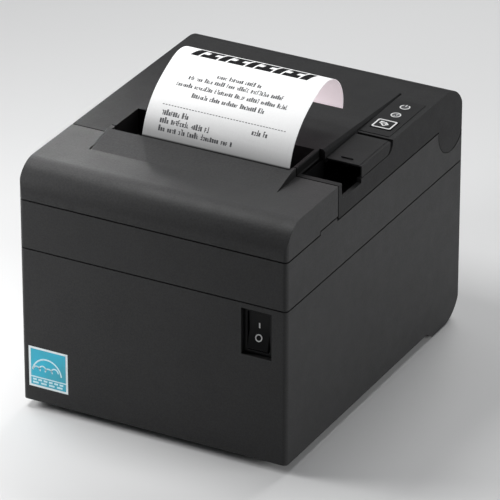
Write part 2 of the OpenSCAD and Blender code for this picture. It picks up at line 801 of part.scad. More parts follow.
module paper_cover() {
    lens_hole = 2.75;
    color(case_grey) difference() {
        cover_outer();
        // hollow underside, and a drum-shaped space round the hinge brackets
        intersection() {
            plan_solid(wall, high_seam - 20, side_top);
            along_x(-ix, ix) union() {
                intersection() {
                    top_outline(wall);
                    rect([seam_y - 1, high_seam - 1], [hy, side_top]);
                }
                translate([hinge_y, hinge_z]) circle(lobe_r - wall);
                rect([hinge_y - 20, high_seam - 20], [hinge_y + 6, high_seam]);
                rect([hinge_y + 5, hinge_z - 8.5], [hy - wall, high_seam]);
            }
        }
        along_x(hump_left + wall, hump_x - wall) intersection() {
            hump_outline(wall);
            rect([slot_rear + wall, side_top - wall - 2], [hy, hump_top]);
        }
        block([-slot_x, seam_y - 1, 100], [slot_x, slot_rear, hump_top + 1]);
        block([rib_x, seam_y - 1, side_top], [ix, seam_y + 4, hump_top + 1]);
        block([rib_x, seam_y + 3.4, side_top - 5], [ix + 0.1, -18.2, hump_top + 1]);
        hump_bevels();
        along_x(ix - 0.1, hx + 1) recess_outline();
        block([hump_x + 0.4, -18.3, side_top - 6], [ix + 0.1, 15.3, hump_top + 1]);
        along_x(ix - 0.1, hx + 1) lever_opening();
        block([button_x - 5.7, button_y - 5.2, 120], [button_x + 5.7, button_y + 5.2, 140]);
        for (y = [error_y, power_y]) rod_z(120, 140, button_x, y, lens_hole);
        both_sides() rod_x(ix - 3, ix + 1.4, hinge_y, hinge_z, 2);
    }
    color(case_grey) both_sides() difference() {
        rod_x(ix - 1.6, ix, hinge_y, hinge_z, 4.5);
        rod_x(ix - 3, ix + 1, hinge_y, hinge_z, 2);
    }
    color(case_grey) both_sides()
        block([slot_x, seam_y + seam / 2, 119.5], [rib_x, slot_rear, side_top]);
    color(case_grey) block([-rib_x, slot_rear, 119.5], [rib_x, slot_rear + wall, side_top - 0.5]);
}

module cover_liner() {
    color(deep_black) difference() {
        union() {
            block([-ix + 0.4, -17.4, 114.4], [ix - 0.4, 63, 116]);
            block([deck_x, seam_y + 0.6, 116.4], [ix - 0.4, 15.8, 119]);
            block([deck_x, seam_y + 0.6, 119], [ix - 0.4, seam_y + 3, side_top - wall]);
            block([deck_x, seam_y + 3.5, 118], [deck_x + 1, -18.4, side_top - 0.6]);
            block([deck_x, 13.8, 116], [ix - 0.4, 15.8, 122]);
            block([deck_x, -17.4, 116], [ix - 0.4, 15.8, 116.4]);
            both_sides() for (y = [-10, 52]) rod_z(116, 122, 46, y, 3.4);
            for (y = [22, 54]) rod_z(116, 120, button_x, y, 2);
        }
        for (x = [-46, 46], y = [-10, 52]) rod_z(110, 123, x, y, 1.6);
        for (x = [-46, 46], y = [-10, 52]) rod_z(110, 115.6, x, y, 3);
    }
}

module cover_screws() {
    color(steel) for (x = [-46, 46], y = [-10, 52])
        translate([x, y, 121]) mirror([0, 0, 1]) screw(2.7, 1.2, 1.4, 5.4);
}

module hinge_pins() {
    color(steel) both_sides() rod_x(64, ix + 1.4, hinge_y, hinge_z, 2);
}

module platen_brackets() {
    color(steel) at_paper() both_sides() difference() {
        union() {
            block([41.6, platen_y - 4.5, platen_z - 6], [43.4, -21, 119.4]);
            block([41.6, -22, 108], [43.4, -8, 114.4]);
            block([43, -17, 113], [50, -8, 114.4]);
        }
        rod_x(30, 50, platen_y, platen_z, 4);
        rod_x(30, 50, latch_y, latch_z, 2.05);
    }
}

module platen_bushes() {
    color([0.85, 0.72, 0.38]) at_paper() both_sides() difference() {
        rod_x(41.2, 43.8, platen_y, platen_z, 4);
        rod_x(30, 50, platen_y, platen_z, 2.55);
    }
}

module platen_roller() {
    color(rubber) at_paper() difference() {
        rod_x(-40.2, 40.2, platen_y, platen_z, platen_r);
        rod_x(-60, 60, platen_y, platen_z, 2.5);
    }
}

module platen_shaft() {
    color(steel) at_paper() rod_x(gear_x - 1, 46.6, platen_y, platen_z, 2.5);
}

module platen_gear() {
    color([0.92, 0.91, 0.86]) at_paper() difference() {
        translate([0, platen_y, platen_z]) along_x(gear_x, gear_x + gear_w)
            gear_outline(gear_module, platen_teeth, platen_phase);
        rod_x(-60, -40, platen_y, platen_z, 2.5);
    }
}

module blade_holder() {
    color(deep_black) block([-slot_x + 0.2, -36, 119.4], [slot_x - 0.2, -20.2, blade_z + 1.1]);
    color(deep_black) for (x = [-30 : 15 : 30])
        block([x - 1, -30, blade_z + 1.1], [x + 1, -20.2, blade_z + 3]);
}

module fixed_blade() {
    color([0.82, 0.83, 0.85]) at_paper() along_x(-41, slot_x - paper_x - 0.3)
        polygon([[paper_y + 0.6, blade_z + 1.1], [-30.2, blade_z + 1.1],
            [-30.2, blade_z + 2], [paper_y + 1.6, blade_z + 2]]);
}

// ---------- Latch and lever ----------

module latch_shaft() {
    color(steel) at_paper() rod_x(-46.6, 46.6, latch_y, latch_z, 2);
}

module latch_hooks() {
    color([0.55, 0.56, 0.58]) at_paper() both_sides() difference() {
        along_x(44.2, 46.4) difference() {
            union() {
                translate([latch_y, latch_z]) circle(3.2);
                polygon([[latch_y - 1.8, latch_z], [latch_y - 1.8, 103], [-29.6, 103], [-29.2, 100.6],
                    [latch_y, 99.6], [latch_y + 2.4, latch_z]]);
            }
        }
        rod_x(40, 50, latch_y, latch_z, 2);
    }
}

// The lever's skirt over the side, rounded at its lower rear corner.
module lever_skirt() {
    difference() {
        rect([-17.9, 124.6], [12.6, side_top]);
        translate([8.1, 129.1]) difference() {
            rect([0, -4.6], [4.6, 0]);
            circle(4.5);
        }
    }
}

module cover_lever() {
    x0 = hump_x + 0.8;
    top = side_top + 0.3;
    color(case_grey) difference() {
        union() {
            block([x0, -17.9, top - 2.6], [ix, 12.6, top]);
            along_x(ix - 0.01, hx) lever_skirt();
            translate([0, -17.9, 0]) rotate([-90, 0, 0]) linear_extrude(30.5)
                polygon([[ix - 0.01, -side_top + 2], [hx, -side_top + 0.8],
                    [hx - 1.6, -top], [ix - 0.01, -top]]);
            for (x = [x0 + 1, ix - 3.4]) along_x(x, x + 2.4) union() {
                translate([lever_y, lever_z]) circle(2.9);
                rect([lever_y - 2.9, lever_z], [lever_y + 2.9, top - 1]);
            }
            block([x0 + 6, -11, top - 6], [x0 + 8, 6, top - 2]);
            translate([x0 + 9, -14, top]) linear_extrude(0.6) polygon([[-3.2, 0], [3.2, 0], [0, 2.6]]);
        }
        // the lip is cut back underneath, and the skirt is thinned to an edge in front
        along_x(x0 - 1, ix) polygon([[-18.5, top - 0.9], [-17.9, top - 0.9],
            [-14.4, top - 2.7], [-18.5, top - 2.7]]);
        translate([0, 0, 120]) linear_extrude(top - 0.9 - 120)
            polygon([[ix - 1, -18.5], [hx - 0.7, -18.5], [hx - 0.7, -17.9], [ix, -12], [ix - 1, -12]]);
        rod_x(x0 - 2, hx - 0.8, lever_y, lever_z, 1.56);
    }
}

module lever_pin() {
    color(steel) rod_x(hump_x + 1, ix + 0.4, lever_y, lever_z, 1.5);
    color(deep_black) block([60, lever_y - 2, 119], [63, lever_y + 2, lever_z - 1.4]);
}

// ---------- Control panel ----------

module control_label() {
    color([0.13, 0.13, 0.14]) difference() {
        block([hump_x + 0.5, 17, side_top], [69.6, 57, side_top + 0.25]);
        block([button_x - 5.7, button_y - 5.2, 120], [button_x + 5.7, button_y + 5.2, 140]);
        for (y = [error_y, power_y]) rod_z(120, 140, button_x, y, 2.75);
    }
}

module feed_button() {
    color([0.12, 0.12, 0.13]) {
        block([button_x - 5.4, button_y - 4.9, side_top - 2.6],
            [button_x + 5.4, button_y + 4.9, side_top + 0.6]);
        rod_z(127.3, side_top - 2.6, button_x, button_y, 2);
    }
}

module light_pipes() {
    color([0.30, 0.31, 0.33]) for (y = [error_y, power_y]) rod_z(124.2, side_top + 0.3, button_x, y, 2.7);
}

module panel_board() {
    color([0.05, 0.30, 0.16]) block([54, 18, 120], [69, 58, 121.6]);
}

module panel_parts() {
    color(deep_black) block([button_x - 3, button_y - 3, 121.6], [button_x + 3, button_y + 3, 125]);
    color(steel) rod_z(125, 126.3, button_x, button_y, 1.7);
    color([0.9, 0.9, 0.85]) for (y = [error_y, power_y])
        block([button_x - 1.5, y - 1, 121.6], [button_x + 1.5, y + 1, 123.6]);
}

// ---------- Receipt ----------

// The receipt's path, as [length, turn to the rear in degrees] for each stretch.
receipt_path = [[6.5, 0], [6, 20], [6, 3], [8, 16], [14, 20], [16, 11], [8, 23], [24, 80], [6, 22]];
receipt_steps = 8;
receipt_moves = [for (s = receipt_path, i = [1 : receipt_steps]) s / receipt_steps];

// Heading of the path after n moves, in degrees above the horizontal, falling as it curls back.
function heading(n) = n == 0 ? 90 : heading(n - 1) - receipt_moves[n - 1][1];
function path_point(n) = n == 0 ? [paper_y, 122.9] :
    let (h = (heading(n) + heading(n - 1)) / 2)
    path_point(n - 1) + receipt_moves[n - 1][0] * [cos(h), sin(h)];

module receipt() {
    count = len(receipt_moves);
    half = 0.15;
    front = [for (i = [0 : count]) path_point(i) - half * [sin(heading(i)), -cos(heading(i))]];
    back = [for (i = [count : -1 : 0]) path_point(i) + half * [sin(heading(i)), -cos(heading(i))]];
    color(paper_white) at_paper() along_x(-paper_w / 2, paper_w / 2) polygon(concat(front, back));
}

lower_case();
middle_case();
bottom_plate();
rubber_feet();
base_screws();
front_sticker();
paper_bucket();
bucket_screws();
hinge_brackets();
mechanism_frame();
frame_posts();
print_head();
head_springs();
head_cable();
feed_motor();
motor_pinion();
idler_gear();
idler_axle();
cutter_frame();
moving_blade();
cutter_pinion();
cutter_motor();
cover_switch();
main_board();
board_components();
interface_plate();
power_inlet();
drawer_port();
usb_port();
network_port();
switch_housing();
power_rocker();
paper_sensor();
paper_roll();
roll_core();
paper_web();
front_cover();
paper_cover();
cover_liner();
cover_screws();
hinge_pins();
platen_brackets();
platen_bushes();
platen_roller();
platen_shaft();
platen_gear();
blade_holder();
fixed_blade();
latch_shaft();
latch_hooks();
cover_lever();
lever_pin();
control_label();
feed_button();
light_pipes();
panel_board();
panel_parts();
receipt();
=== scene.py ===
"""Looks for the receipt printer: grained charcoal mouldings, a printed curl of paper, labels and light."""

import math
import random

import bmesh
import bpy
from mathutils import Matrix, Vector


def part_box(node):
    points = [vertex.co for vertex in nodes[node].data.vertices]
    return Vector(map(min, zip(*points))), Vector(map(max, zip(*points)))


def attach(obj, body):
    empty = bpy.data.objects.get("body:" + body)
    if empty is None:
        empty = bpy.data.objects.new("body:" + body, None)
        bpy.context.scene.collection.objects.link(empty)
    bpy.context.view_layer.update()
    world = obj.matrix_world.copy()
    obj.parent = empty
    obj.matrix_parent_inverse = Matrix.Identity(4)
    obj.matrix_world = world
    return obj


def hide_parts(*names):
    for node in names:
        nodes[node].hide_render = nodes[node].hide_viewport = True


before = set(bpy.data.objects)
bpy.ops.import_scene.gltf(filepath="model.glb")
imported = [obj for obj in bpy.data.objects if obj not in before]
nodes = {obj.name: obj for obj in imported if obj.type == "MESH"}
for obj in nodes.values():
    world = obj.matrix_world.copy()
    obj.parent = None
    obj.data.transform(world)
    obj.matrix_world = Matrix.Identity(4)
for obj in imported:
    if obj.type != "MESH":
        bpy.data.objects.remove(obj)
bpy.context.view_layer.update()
MM = 0.001

# ---------- Sizes, in mm ----------

# The paper slot's half-width and its front and rear walls.
SLOT_X = 48.3
SLOT_Y = (-46.0, -20.0)
# The outer face of the rib at the slot's right end, and the stretch of it that gets painted shade, near
# black.
RIB_X = 50
RIB_Y = (-63, -18)
# The step up from the covers' sides to their middle.
HUMP_H = 4.5

# The receipt's path above the cutter, as (length, turn to the rear in degrees), the same as the CAD node's.
RECEIPT_PATH = ((6.5, 0), (6, 20), (6, 3), (8, 16), (14, 20), (16, 11), (8, 23), (24, 80), (6, 22))
# The sheet's thickness, and how far its middle is behind the front of the web below it.
SHEET_T = 0.10
WEB_TO_SHEET = 0.08
# A very slight wave across the sheet, which starts at a distance along it and grows over a length.
WAVE_H = 0.10
WAVE_START = 30
WAVE_GROWTH = 65

# How far ink reaches above and below the receipt's front.
INK_REACH = 0.02
# The marks' thickness, and how high their tops are on the case, on the sticker and on the rocker.
MARK_T = 0.03
MARK_LIFT = 0.03
MOTIF_LIFT = 0.05
ROCKER_MARK_LIFT = 0.04

# The bold band's ends, as distances along the sheet, and its blocks' widths.
BAND_ENDS = (60.6, 68.8)
BAND_WIDTHS = (4.2, 8.8) * 4 + (4.2,)
# Rows of small print in the middle, as (half-width, distance along the sheet).
CENTRED_ROWS = ((12.4, 48.9), (26.0, 44.8), (30.4, 40.1), (20.0, 35.3))
# The rule below them, and the table's rows as (start, end, distance along the sheet).
RULE_HALF = 33.0
RULE_AT = 29.0
TABLE_ROWS = ((-32.0, -16.8, 24.0), (-32.0, -4.5, 20.1), (-32.0, 8.5, 16.1), (16.8, 25.8, 24.0))

# Edge radii of the large and the small mouldings.
CASE_RADIUS = 0.45
SMALL_RADIUS = 0.35

# ---------- Colours, as linear red, green and blue ----------

CASE_COLOUR = (0.018, 0.018, 0.0185)
LID_COLOUR = (0.0155, 0.0155, 0.016)
BLACK = (0.0035, 0.0035, 0.004)
# A near black for the slot's liner: black plastic, made darker than the other blacks as painted shade in the
# recess.
MATT_BLACK_FOR_SHADE = (0.0022, 0.0022, 0.0024)
# The colour of the painted shade in the slot and on the rib's side.
SHADOW = (0.0015, 0.0015, 0.0016)

# ---------- Lights and camera, in metres and watts ----------

# Area lights, as (name, place, target, (width, height), power).
AREA_LIGHTS = (
    ("rim", (-0.85, 0.95, 0.62), (0, 0, 0.12), (0.7, 0.4), 2.0),
    ("front", (-0.28, -0.19, 0.17), (-0.05, -0.09, 0.07), (0.12, 0.12), 0.76),
    ("right", (1.40, 0.25, 0.32), (0.05, 0, 0.08), (0.8, 0.5), 11.5),
    ("near", (-0.22, -0.06, 0.55), (-0.02, -0.08, 0.13), (0.2, 0.2), 1.85),
    ("back", (0.0, 0.7, 1.0), (0, 0, 0.1), (0.5, 0.5), 6.2),
)
# A narrow spot on the front cover's left end, as its place, target, cone in degrees, radius and power.
SPOT = ((-0.52, 0.72, 0.60), (-0.066, -0.080, 0.130), 4.6, 0.05, 30)
SKY_COLOUR = (0.9, 0.95, 1.0, 1.0)
SKY_STRENGTH = 0.10
FLOOR_HALF = 3.0

# The camera's angles in degrees, its distance and target, and its lens in mm.
AZIMUTH = 28.18
ELEVATION = 27.03
DISTANCE = 2.296
LOOK_AT = (0.0026, 0.0, 0.0611)
FOCAL_LENGTH = 336.2


# ---------- Node materials ----------

class Material:
    """A node material with a principled shader, and short calls for the textures that feed it."""

    def __init__(self, name, roughness=0.5, metallic=0.0, specular=0.5):
        self.data = bpy.data.materials.new(name)
        self.data.use_nodes = True
        self.tree = self.data.node_tree
        self.shader = self.tree.nodes["Principled BSDF"]
        self.shader.inputs["Roughness"].default_value = roughness
        self.shader.inputs["Metallic"].default_value = metallic
        self.shader.inputs["Specular IOR Level"].default_value = specular
        self.place = self.add("TexCoord").outputs["Object"]

    def add(self, kind):
        """A new shader node, such as "Mapping"."""
        return self.tree.nodes.new("ShaderNode" + kind)

    def link(self, out, node, socket):
        self.tree.links.new(out, node.inputs[socket])

    def calculate(self, operation, *values):
        """One step of arithmetic on numbers and nodes' outputs."""
        node = self.add("Math")
        node.operation = operation
        for i, value in enumerate(values):
            if isinstance(value, float):
                node.inputs[i].default_value = value
            else:
                self.link(value, node, i)
        return node.outputs[0]

    def stretched(self, scale):
        """Object coordinates scaled by a different amount along each axis."""
        node = self.add("Mapping")
        node.inputs["Scale"].default_value = scale
        self.link(self.place, node, "Vector")
        return node.outputs["Vector"]

    def noise(self, size_mm, detail=2.0, place=None):
        """Noise whose blotches are about size_mm across."""
        node = self.add("TexNoise")
        node.inputs["Scale"].default_value = 1000.0 / size_mm
        node.inputs["Detail"].default_value = detail
        self.link(place or self.place, node, "Vector")
        return node.outputs["Fac"]

    def cells(self, size_mm):
        """The distance to the middle of round cells about size_mm across."""
        node = self.add("TexVoronoi")
        node.inputs["Scale"].default_value = 1000.0 / size_mm
        self.link(self.place, node, "Vector")
        return node.outputs["Distance"]

    def ramp(self, factor, stops):
        """Colours at places from 0 to 1, as (place, (r, g, b))."""
        node = self.add("ValToRGB")
        while len(node.color_ramp.elements) < len(stops):
            node.color_ramp.elements.new(0.5)
        for element, (place, colour) in zip(node.color_ramp.elements, stops):
            element.position = place
            element.color = (*colour, 1.0)
        self.link(factor, node, "Fac")
        return node.outputs["Color"]

    def tones(self, factor, colour, spread, start=0.3, end=0.7):
        """Runs from a darker to a lighter shade of a colour."""
        dark, light = [tuple(min(c * k, 1.0) for c in colour) for k in (1 - spread, 1 + spread)]
        return self.ramp(factor, [(start, dark), (end, light)])

    def spread(self, factor, low, high, start=0.0, end=1.0):
        """Maps start..end onto low..high."""
        node = self.add("MapRange")
        node.inputs["From Min"].default_value = start
        node.inputs["From Max"].default_value = end
        node.inputs["To Min"].default_value = low
        node.inputs["To Max"].default_value = high
        self.link(factor, node, "Value")
        return node.outputs["Result"]

    def mix(self, factor, a, b, kind="MIX"):
        """Mixes two colours. Each value is a number, a colour or a node's output."""
        node = self.add("Mix")
        node.data_type = "RGBA"
        node.blend_type = kind
        for socket, value in (("Factor", factor), ("A", a), ("B", b)):
            chosen = [s for s in node.inputs if s.name == socket and s.enabled][0]
            if isinstance(value, (float, tuple)):
                chosen.default_value = value if isinstance(value, float) else (*value, 1.0)
            else:
                self.tree.links.new(value, chosen)
        return [s for s in node.outputs if s.enabled][0]

    def along(self, axis):
        """Where a point is along one axis, in metres."""
        split = self.add("SeparateXYZ")
        self.link(self.place, split, "Vector")
        return split.outputs[axis]

    def inside(self, low, high):
        """1 inside a box, 0 outside it. Its corners are in mm."""
        result = 1.0
        for axis, a, b in zip("XYZ", low, high):
            near = self.calculate("COMPARE", self.along(axis), (a + b) / 2 * MM, (b - a) / 2 * MM)
            result = self.calculate("MULTIPLY", result, near)
        return result

    def colour(self, out):
        self.link(out, self.shader, "Base Color")

    def roughness(self, out):
        self.link(out, self.shader, "Roughness")

    def bump(self, heights):
        """Adds bumps, as (height, depth in mm), one on top of the other."""
        normal = None
        for height, depth_mm in heights:
            node = self.add("Bump")
            node.inputs["Distance"].default_value = depth_mm * MM
            self.link(height, node, "Height")
            if normal:
                self.link(normal, node, "Normal")
            normal = node.outputs["Normal"]
        self.link(normal, self.shader, "Normal")


def moulding(name, colour, grain_mm=0.7, depth_mm=0.02, roughness=0.55, specular=0.3, painted_shade_boxes=()):
    """Spark-eroded grain on a moulded plastic, with faint mottling and flow marks.

    Painted shade makes it near black inside each given box, a pair of corners in mm.
    """
    m = Material(name, roughness, specular=specular)
    fine = m.noise(grain_mm, 4)
    tone = m.mix(0.5, m.tones(m.noise(26, 3), colour, 0.14), m.tones(fine, colour, 0.45, 0.36, 0.64))
    for low, high in painted_shade_boxes:
        # Painted shade: near black inside the box.
        tone = m.mix(m.inside(low, high), tone, SHADOW)
    m.colour(tone)
    m.roughness(m.spread(m.noise(9, 4), roughness - 0.07, roughness + 0.07))
    m.bump([(m.noise(60, 1), 0.06), (fine, depth_mm), (m.cells(grain_mm * 1.7), depth_mm * 0.6)])
    return m.data


def smooth_plastic(name, colour, roughness=0.25, specular=0.5):
    """A smooth moulding with slight sink and a few fine scuffs."""
    m = Material(name, roughness, specular=specular)
    m.colour(m.tones(m.noise(8, 3), colour, 0.10, 0.35, 0.65))
    m.roughness(m.spread(m.noise(2.5, 5), roughness - 0.05, roughness + 0.12))
    m.bump([(m.noise(5, 2), 0.02), (m.noise(0.25, 3), 0.002)])
    return m.data


def brushed(name, colour, along, roughness=0.32):
    """Rolled or ground metal: streaks run along one axis."""
    m = Material(name, roughness, metallic=1.0)
    scale = [0.05 if axis == along else 1.0 for axis in "XYZ"]
    streaks = m.noise(0.35, 4, m.stretched(scale))
    m.colour(m.mix(0.5, m.tones(streaks, colour, 0.10), m.tones(m.noise(14, 3), colour, 0.10)))
    m.roughness(m.spread(streaks, roughness - 0.08, roughness + 0.12))
    m.bump([(streaks, 0.003)])
    return m.data


def rubber(name):
    """Dull rubber with a dusty bloom."""
    m = Material(name, 0.85, specular=0.3)
    m.colour(m.ramp(m.noise(3, 5), [(0.3, (0.010, 0.010, 0.011)), (0.7, (0.030, 0.030, 0.031))]))
    m.roughness(m.spread(m.noise(1.2, 4), 0.75, 0.95))
    m.bump([(m.noise(0.3, 3), 0.02)])
    return m.data


def thermal_paper(name, slot_z=None):
    """Coated white paper with faint fibres and painted shade near the slot, whose edge is at the height
    slot_z.
    """
    m = Material(name, 0.55, specular=0.3)
    fibres = m.noise(0.5, 5, m.stretched((1.0, 0.35, 0.35)))
    patches = m.ramp(m.noise(18, 2), [(0.3, (0.92, 0.92, 0.92)), (0.7, (0.96, 0.96, 0.955))])
    tone = m.mix(0.5, patches, m.ramp(fibres, [(0.35, (0.91, 0.91, 0.91)), (0.65, (0.97, 0.97, 0.97))]))
    if slot_z is not None:
        # Painted shade that reaches a little higher on the left, and a thin painted shadow line at the slot's
        # edge.
        tilted = m.calculate("MULTIPLY_ADD", m.along("X"), 0.05, m.along("Z"))
        soft = ((0.0, 0.32), (0.12, 0.38), (0.5, 0.76), (1.0, 1.0))
        line = ((0.4, 0.04), (1.0, 1.0))
        for place, reach_mm, stops in ((tilted, 17.4, soft), (m.along("Z"), 0.6, line)):
            height = m.spread(place, 0.0, 1.0, slot_z - 0.6 * MM, slot_z + reach_mm * MM)
            shade = m.ramp(height, [(spot, (grey,) * 3) for spot, grey in stops])
            tone = m.mix(1.0, tone, shade, "MULTIPLY")
    m.colour(tone)
    m.roughness(m.spread(fibres, 0.48, 0.62))
    m.bump([(fibres, 0.004), (m.noise(12, 2), 0.03)])
    return m.data


def paper_back(name):
    """The uncoated back of the paper, a little pink, with a painted glow that stands in for light coming
    through the sheet.
    """
    m = Material(name, 0.75, specular=0.2)
    # Painted light: an emission that makes the back glow as if lit through the sheet.
    m.shader.inputs["Emission Color"].default_value = (0.95, 0.85, 0.89, 1.0)
    m.shader.inputs["Emission Strength"].default_value = 0.38
    fibres = m.noise(0.6, 5)
    m.colour(m.ramp(fibres, [(0.3, (0.78, 0.70, 0.72)), (0.7, (0.88, 0.80, 0.83))]))
    m.roughness(m.spread(fibres, 0.68, 0.82))
    m.bump([(fibres, 0.006)])
    return m.data


def wound_paper(name, centre):
    """A roll seen from its side: fine rings round its axis, which runs along X."""
    m = Material(name, 0.7, specular=0.2)
    spun = m.add("Mapping")
    spun.inputs["Location"].default_value = (0.0, -centre.y, -centre.z)
    spun.inputs["Scale"].default_value = (0.0, 1.0, 1.0)
    m.link(m.place, spun, "Vector")
    rings = m.add("TexWave")
    rings.wave_type = "RINGS"
    rings.rings_direction = "X"
    rings.inputs["Scale"].default_value = 420.0
    rings.inputs["Distortion"].default_value = 0.6
    m.link(spun.outputs["Vector"], rings, "Vector")
    m.colour(m.ramp(rings.outputs["Fac"], [(0.1, (0.74, 0.73, 0.72)), (0.6, (0.90, 0.90, 0.89))]))
    m.roughness(m.spread(m.noise(2, 3), 0.6, 0.8))
    m.bump([(rings.outputs["Fac"], 0.02)])
    return m.data


def card(name):
    """Brown card with fibres that run along X."""
    m = Material(name, 0.8, specular=0.2)
    fibres = m.noise(0.8, 5, m.stretched((0.2, 1.0, 1.0)))
    m.colour(m.ramp(fibres, [(0.3, (0.42, 0.30, 0.19)), (0.7, (0.60, 0.46, 0.31))]))
    m.roughness(m.spread(fibres, 0.7, 0.9))
    m.bump([(fibres, 0.02)])
    return m.data


def circuit_board(name):
    """Green resist over copper tracks."""
    m = Material(name, 0.3)
    tracks = m.cells(5.0)
    greens = [(0.30, (0.010, 0.075, 0.035)), (0.36, (0.020, 0.130, 0.060)), (0.60, (0.014, 0.095, 0.045))]
    m.colour(m.ramp(tracks, greens))
    m.roughness(m.spread(m.noise(3, 3), 0.22, 0.4))
    m.bump([(tracks, 0.03)])
    return m.data


def printed(name, colour, roughness=0.5, specular=0.3):
    """A printed or painted mark, slightly uneven in tone."""
    m = Material(name, roughness, specular=specular)
    m.colour(m.tones(m.noise(0.9, 4), colour, 0.08))
    m.roughness(m.spread(m.noise(0.6, 3), roughness - 0.06, roughness + 0.06))
    m.bump([(m.noise(0.5, 3), 0.002)])
    return m.data


def sticker_blue(name):
    """Cyan print, brighter in soft patches."""
    m = Material(name, 0.45, specular=0.3)
    m.colour(m.ramp(m.noise(16, 2), [(0.3, (0.06, 0.40, 0.52)), (0.7, (0.04, 0.50, 0.70))]))
    m.roughness(m.spread(m.noise(0.6, 3), 0.38, 0.52))
    m.bump([(m.noise(0.5, 3), 0.002)])
    return m.data


# ---------- Shapes ----------

def mesh_piece(name, body, material, solid):
    """A new mesh object from a bmesh, riding on a body."""
    data = bpy.data.meshes.new(name)
    solid.normal_update()
    solid.to_mesh(data)
    solid.free()
    piece = bpy.data.objects.new(name, data)
    bpy.context.scene.collection.objects.link(piece)
    data.materials.append(material)
    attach(piece, body)
    return piece


def smooth_group():
    """Geometry nodes that shade every face smooth, which the bevel's normals need."""
    group = bpy.data.node_groups.new("shade_smooth", "GeometryNodeTree")
    group.interface.new_socket("Geometry", in_out="INPUT", socket_type="NodeSocketGeometry")
    group.interface.new_socket("Geometry", in_out="OUTPUT", socket_type="NodeSocketGeometry")
    start = group.nodes.new("NodeGroupInput")
    smooth = group.nodes.new("GeometryNodeSetShadeSmooth")
    end = group.nodes.new("NodeGroupOutput")
    group.links.new(start.outputs[0], smooth.inputs["Geometry"])
    group.links.new(smooth.outputs["Geometry"], end.inputs[0])
    return group


def soften(piece, group, radius_mm, segments=2):
    """Rounds the hard edges of a moulding by a small radius."""
    weld = piece.modifiers.new("weld", "WELD")
    weld.merge_threshold = 0.002 * MM
    smooth = piece.modifiers.new("smooth", "NODES")
    smooth.node_group = group
    bevel = piece.modifiers.new("bevel", "BEVEL")
    bevel.width = radius_mm * MM
    bevel.segments = segments
    bevel.limit_method = "ANGLE"
    bevel.angle_limit = math.radians(32)
    bevel.miter_outer = "MITER_ARC"
    normals = piece.modifiers.new("normals", "WEIGHTED_NORMAL")
    normals.keep_sharp = False
    normals.weight = 60


class Sheet:
    """A flat place on the object for marks: a corner, two directions and the way they face, in mm."""

    def __init__(self, origin, across, up):
        self.origin = Vector(origin)
        self.across = Vector(across).normalized()
        self.up = Vector(up).normalized()
        self.out = self.across.cross(self.up)

    def point(self, u, v, lift=0.0):
        return (self.origin + self.across * u + self.up * v + self.out * lift) * MM


def add_outline(solid, sheet, outline, lift=MARK_LIFT):
    """A thin solid plate in the outline, given as points in mm on a sheet."""
    top = [solid.verts.new(sheet.point(u, v, lift)) for u, v in outline]
    low = [solid.verts.new(sheet.point(u, v, lift - MARK_T)) for u, v in outline]
    count = len(outline)
    solid.faces.new(top)
    solid.faces.new(low[::-1])
    for i in range(count):
        j = (i + 1) % count
        solid.faces.new((low[i], low[j], top[j], top[i]))


def add_band(solid, sheet, inner, outer, lift=MARK_LIFT, closed=True):
    """A thin solid band between two outlines with the same number of points."""
    count = len(inner)
    base = lift - MARK_T
    rings = []
    for outline, height in ((inner, lift), (outer, lift), (outer, base), (inner, base)):
        rings.append([solid.verts.new(sheet.point(u, v, height)) for u, v in outline])
    last = count if closed else count - 1
    for a, b in zip(rings, rings[1:] + rings[:1]):
        for i in range(last):
            j = (i + 1) % count
            solid.faces.new((a[i], b[i], b[j], a[j]))
    if not closed:
        for i in (0, count - 1):
            ends = [ring[i] for ring in rings]
            solid.faces.new(ends if i == 0 else ends[::-1])


def rectangle(u, v, width, height):
    """Outline of a rectangle from its low corner."""
    return [(u, v), (u + width, v), (u + width, v + height), (u, v + height)]


def arc(centre, radius, start, end, steps, squash=1.0):
    """Points on an arc, angles in degrees."""
    out = []
    for i in range(steps + 1):
        a = math.radians(start + (end - start) * i / steps)
        out.append((centre[0] + radius * math.cos(a), centre[1] + radius * squash * math.sin(a)))
    return out


def rounded_box(half_u, half_v, radius, steps=6):
    """Outline of a rectangle with round corners, about the sheet's origin."""
    u, v = half_u - radius, half_v - radius
    out = []
    for quarter, centre in enumerate(((u, v), (-u, v), (-u, -v), (u, -v))):
        out += arc(centre, radius, 90 * quarter, 90 * (quarter + 1), steps)
    return out


def bar(u0, v0, u1, v1, half):
    """Outline of a bar of half-width "half" from one point to another."""
    start, end = Vector((u0, v0)), Vector((u1, v1))
    along = (end - start).normalized() * half
    side = Vector((-along.y, along.x))
    return [(p.x, p.y) for p in (start - side, end - side, end + side, start + side)]


def ring(solid, sheet, centre, radius, width, lift=MARK_LIFT, steps=32):
    """A round line."""
    stop = 360 - 360 / steps
    inner, outer = [arc(centre, radius + side * width / 2, 0, stop, steps - 1) for side in (-1, 1)]
    add_band(solid, sheet, inner, outer, lift)


def open_ring(solid, sheet, centre, radius, width, start, end, steps=28):
    """Part of a round line, angles in degrees."""
    inner, outer = [arc(centre, radius + side * width / 2, start, end, steps) for side in (-1, 1)]
    add_band(solid, sheet, inner, outer, closed=False)


# ---------- The receipt ----------

